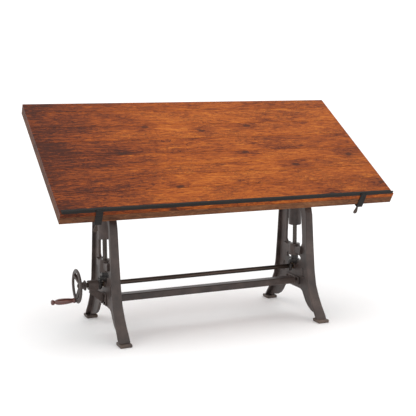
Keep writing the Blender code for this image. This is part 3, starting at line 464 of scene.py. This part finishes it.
# %% Threads on the lift screws
lead = 0.010
for side in ("left", "right"):
    mid, low, high = middle(f"lift_screw_{side}")
    radius = (high.x - low.x) / 2
    root = radius - 0.0022
    start, stop = low.z + 0.110, high.z - 0.006
    core = lathe([(0, low.z), (radius - 0.002, low.z), (radius - 0.001, low.z + 0.001),
                  (radius - 0.001, start - 0.004), (root, start), (root, stop),
                  (radius - 0.002, stop + 0.002), (radius - 0.002, high.z), (0, high.z)],
                 (mid.x, mid.y, 0), (0, 0, 1), 40)
    turns = (stop - start - 0.004) / lead
    steps = int(turns * 28)
    for begin in (0, math.pi):
        ring = Vector((math.cos(begin), math.sin(begin), 0))
        base = Vector((mid.x, mid.y, start + 0.002))
        tooth = [(root - 0.0005, -0.0017), (radius, -0.0008), (radius, 0.0008), (root - 0.0005, 0.0017)]
        corners = [core.verts.new(base + ring * r + Vector((0, 0, h))) for r, h in tooth]
        face = core.faces.new(corners)
        kept = bmesh.ops.duplicate(core, geom=[face] + list(face.edges) + corners)
        far = [v for v in kept["geom"] if isinstance(v, bmesh.types.BMVert)]
        bmesh.ops.spin(core, geom=list(face.edges) + corners, cent=base, axis=(0, 0, -1),
                       dvec=(0, 0, lead * turns / steps), angle=math.tau * turns,
                       steps=steps, use_merge=False, use_duplicate=False)
        end = Matrix.Rotation(-math.tau * turns, 4, "Z")
        for v in far:
            v.co = base + end @ (v.co - base) + Vector((0, 0, lead * turns))
        bmesh.ops.remove_doubles(core, verts=core.verts, dist=0.00001)
    bmesh.ops.recalc_face_normals(core, faces=core.faces)
    stand_for(finish_piece(core, f"lift_screw_threaded_{side}", screw_steel, f"screw_{side}", 30),
              f"lift_screw_{side}")
    print(f"{side} screw: {turns:.1f} turns of thread")

# %% [markdown]
# Hexagon-headed bolts hold the stretcher, the bearing and the top's brackets. Each is a washer and
# a six-sided head whose corners are turned off, so that light catches a ring on its face.

# %% Hexagon bolts
WASHER = 0.0014
PLATE_UNDER = 0.0789         # from the tilt axis to the lower face of a bracket's plate


def bolt_head(shape, at, axis, across, high):
    """A washer and a chamfered six-sided head standing on a face."""
    turn = Vector((0, 0, 1)).rotation_difference(Vector(axis)).to_matrix().to_4x4()
    place = Matrix.Translation(at) @ turn
    bmesh.ops.create_cone(shape, cap_ends=True, segments=28, radius1=across * 1.25,
                          radius2=across * 1.18, depth=WASHER,
                          matrix=place @ Matrix.Translation((0, 0, WASHER / 2)))
    head = bmesh.ops.create_cone(shape, cap_ends=True, segments=6, radius1=across,
                                 radius2=across, depth=high,
                                 matrix=place @ Matrix.Translation((0, 0, WASHER + high / 2)))
    verts = set(head["verts"])
    edges = [e for e in shape.edges if e.verts[0] in verts and e.verts[1] in verts]
    bmesh.ops.bevel(shape, geom=edges, offset=0.0007, segments=2, profile=0.5, affect="EDGES",
                    material=-1, clamp_overlap=True)


_, low, high = middle("stretcher")
ys = joints["crank_turn"]["pos_m"][1]
bolts = bmesh.new()
for x, way in ((low.x + 0.009, 1), (high.x - 0.009, -1)):
    for y in (-0.058, 0.058):
        bolt_head(bolts, Vector((x, ys + y, 0.190)), (way, 0, 0), 0.0080, 0.0060)
_, low, high = middle("bearing_bracket")
for y in (-0.023, 0.023):
    for z in (0.156, 0.196):
        bolt_head(bolts, Vector((high.x - 0.008, ys + y, z)), (-1, 0, 0), 0.0080, 0.0060)
bolts = finish_piece(bolts, "base_bolts", shaft_steel, "base", 30)

turn_up = Matrix.Rotation(tilt_angle, 3, "X")
under = bmesh.new()
for side in ("left", "right"):
    mid, _, _ = middle(f"top_bracket_{side}")
    for x in (-0.034, 0.034):
        for y in (-0.064, 0.064):
            local = Vector((0, y, PLATE_UNDER))
            spot = Vector((mid.x + x, pivot.y, pivot.z)) + turn_up @ local
            bolt_head(under, spot, turn_up @ Vector((0, 0, -1)), 0.0070, 0.0050)
under = finish_piece(under, "bracket_bolts", shaft_steel, "top", 30)
print("bolt heads: 16")

# %% [markdown]
# Parts that are small or hidden keep the frame's own shape and only get their finish.

# %% Finishes for the remaining parts
kept = {"web_bush_left": bearing_bronze, "web_bush_right": bearing_bronze,
        "bearing_bush": bearing_bronze, "lift_nut_left": bearing_bronze,
        "lift_nut_right": bearing_bronze, "thrust_collar_left": shaft_steel,
        "thrust_collar_right": shaft_steel, "shaft_stop": shaft_steel,
        "wheel_cap": shaft_steel, "handle_spindle": shaft_steel}
for name, finish in kept.items():
    mesh = frame["nodes"][name].data
    mesh.materials.clear()
    mesh.materials.append(finish)
print("kept parts:", len(kept))

# %% [markdown]
# The handwheel is a broad oval-sectioned rim on three wide spokes that sweep back to a hub, like a
# shallow dish. The rim is one section spun round the shaft; a spoke starts as a cube whose two ends
# are moved and scaled apart; the hub and the boss for the grip are turned.

# %% The handwheel
SPOKE_HUB_WIDE, SPOKE_RIM_WIDE = 0.0230, 0.0250
_, wheel_low, wheel_high = middle("handwheel")
shaft_y, shaft_z = joints["crank_turn"]["pos_m"][1:]
outer = (wheel_high.z - wheel_low.z) / 2
rim_x = wheel_low.x + 0.009
rim_wide, rim_half = 0.0115, 0.0070
rim_mid = outer - rim_wide
oval = [(rim_mid + rim_wide * math.cos(a), rim_x + rim_half * math.sin(a))
        for a in (i * math.tau / 14 for i in range(14))]
wheel = lathe(oval, (0, shaft_y, shaft_z), (1, 0, 0), 72)
hub_outline = [(0.0130, rim_x + 0.006), (0.0195, rim_x + 0.008), (0.0215, rim_x + 0.012),
               (0.0200, rim_x + 0.024), (0.0180, rim_x + 0.031), (0.0205, rim_x + 0.036),
               (0.0262, wheel_high.x - 0.006), (0.0275, wheel_high.x - 0.004),
               (0.0272, wheel_high.x - 0.001), (0.0262, wheel_high.x), (0.0130, wheel_high.x)]
hub = lathe(hub_outline, (0, shaft_y, shaft_z), (1, 0, 0), 48)
grip_y, grip_z = joints["handle_spin"]["pos_m"][1:]
boss = lathe([(0.0048, wheel_low.x), (0.0112, wheel_low.x), (0.0125, wheel_low.x + 0.0014),
              (0.0128, rim_x + 0.0055), (0.0048, rim_x + 0.0055)], (0, grip_y, grip_z), (1, 0, 0), 32)
for extra in (hub, boss):
    held = bpy.data.meshes.new("held")
    extra.to_mesh(held)
    extra.free()
    wheel.from_mesh(held)
    bpy.data.meshes.remove(held)
handle_turn = math.atan2(grip_z - shaft_z, grip_y - shaft_y)
for i in range(3):
    cube = bmesh.ops.create_cube(wheel, size=1)["verts"]
    for v in cube:
        tip = v.co.x > 0
        along = outer - 0.013 if tip else 0.014
        wide = v.co.y * (SPOKE_RIM_WIDE if tip else SPOKE_HUB_WIDE)
        back = v.co.z * (0.0085 if tip else 0.0110) + (0.0 if tip else 0.018)
        v.co = (back, along, wide)
    edges = {e for v in cube for e in v.link_edges if e.verts[0] in cube and e.verts[1] in cube}
    rounded = bmesh.ops.bevel(wheel, geom=list(edges), offset=0.0030, segments=3, profile=0.5,
                              affect="EDGES", material=-1, clamp_overlap=True)
    moved = {v for f in rounded["faces"] for v in f.verts} | {v for v in cube if v.is_valid}
    bmesh.ops.rotate(wheel, verts=list(moved), cent=(0, 0, 0),
                     matrix=Matrix.Rotation(handle_turn + i * math.tau / 3, 3, "X"))
    bmesh.ops.translate(wheel, verts=list(moved), vec=(rim_x, shaft_y, shaft_z))
stand_for(finish_piece(wheel, "handwheel_cast", cast_iron, "crank", 45), "handwheel")
print("handwheel: %.0f mm across" % (outer * 2000))

# %% [markdown]
# The table stands on a plain pale floor in soft light. A large lamp overhead and a little in front
# gives the top its even glow and the legs their soft shadows, and the pale surroundings fill in.

# %% Floor, light and camera
floor_mesh = bpy.data.meshes.new("floor")
floor_shape = bmesh.new()
bmesh.ops.create_grid(floor_shape, x_segments=2, y_segments=2, size=14)
floor_shape.to_mesh(floor_mesh)
floor_shape.free()
floor_finish, floor_tree, floor_shader = new_finish("pale studio floor", Roughness=0.9)
floor_place = add(floor_tree, "ShaderNodeTexCoord").outputs["Object"]
floor_noise = add(floor_tree, "ShaderNodeTexNoise", {"Vector": floor_place, "Scale": 1.5})
floor_tree.links.new(ramp(floor_tree, floor_noise.outputs["Fac"], (0.3, colour("fbfbfb")),
                          (0.7, colour("fefefe"))), floor_shader.inputs["Base Color"])
floor_mesh.materials.append(floor_finish)
floor = bpy.data.objects.new("floor", floor_mesh)
floor.location.z = -0.0005
bpy.context.scene.collection.objects.link(floor)

world = bpy.data.worlds.new("studio")
bpy.context.scene.world = world
world.use_nodes = True
world.node_tree.nodes["Background"].inputs["Color"].default_value = (1, 1, 1, 1)
world.node_tree.nodes["Background"].inputs["Strength"].default_value = 1.16
bpy.context.scene.view_settings.view_transform = "Standard"


def soft_lamp(name, at, aim, size, power):
    lamp = bpy.data.lights.new(name, "AREA")
    lamp.size, lamp.energy = size, power
    item = bpy.data.objects.new(name, lamp)
    item.location = at
    item.rotation_euler = (Vector(aim) - Vector(at)).to_track_quat("-Z", "Y").to_euler()
    bpy.context.scene.collection.objects.link(item)


soft_lamp("overhead", (-0.4, -0.9, 3.4), (0, 0, 0.5), 2.2, 20)
soft_lamp("front fill", (-0.6, -4.2, 2.2), (0, 0, 0.5), 1.6, 14)

yaw, pitch, roll = math.radians(23.16), math.radians(-8.37), math.radians(-0.16)
forward = Vector((math.sin(yaw) * math.cos(pitch), math.cos(yaw) * math.cos(pitch), math.sin(pitch)))
lens = bpy.data.cameras.new("camera")
lens.lens, lens.sensor_width = 76.8, 36
camera = bpy.data.objects.new("camera", lens)
camera.location = (-1.875, -4.438 + ys, 1.336)
aim = forward.to_track_quat("-Z", "Y").to_matrix()
camera.rotation_euler = (aim @ Matrix.Rotation(roll, 3, "Z")).to_euler()
bpy.context.scene.collection.objects.link(camera)
bpy.context.scene.camera = camera
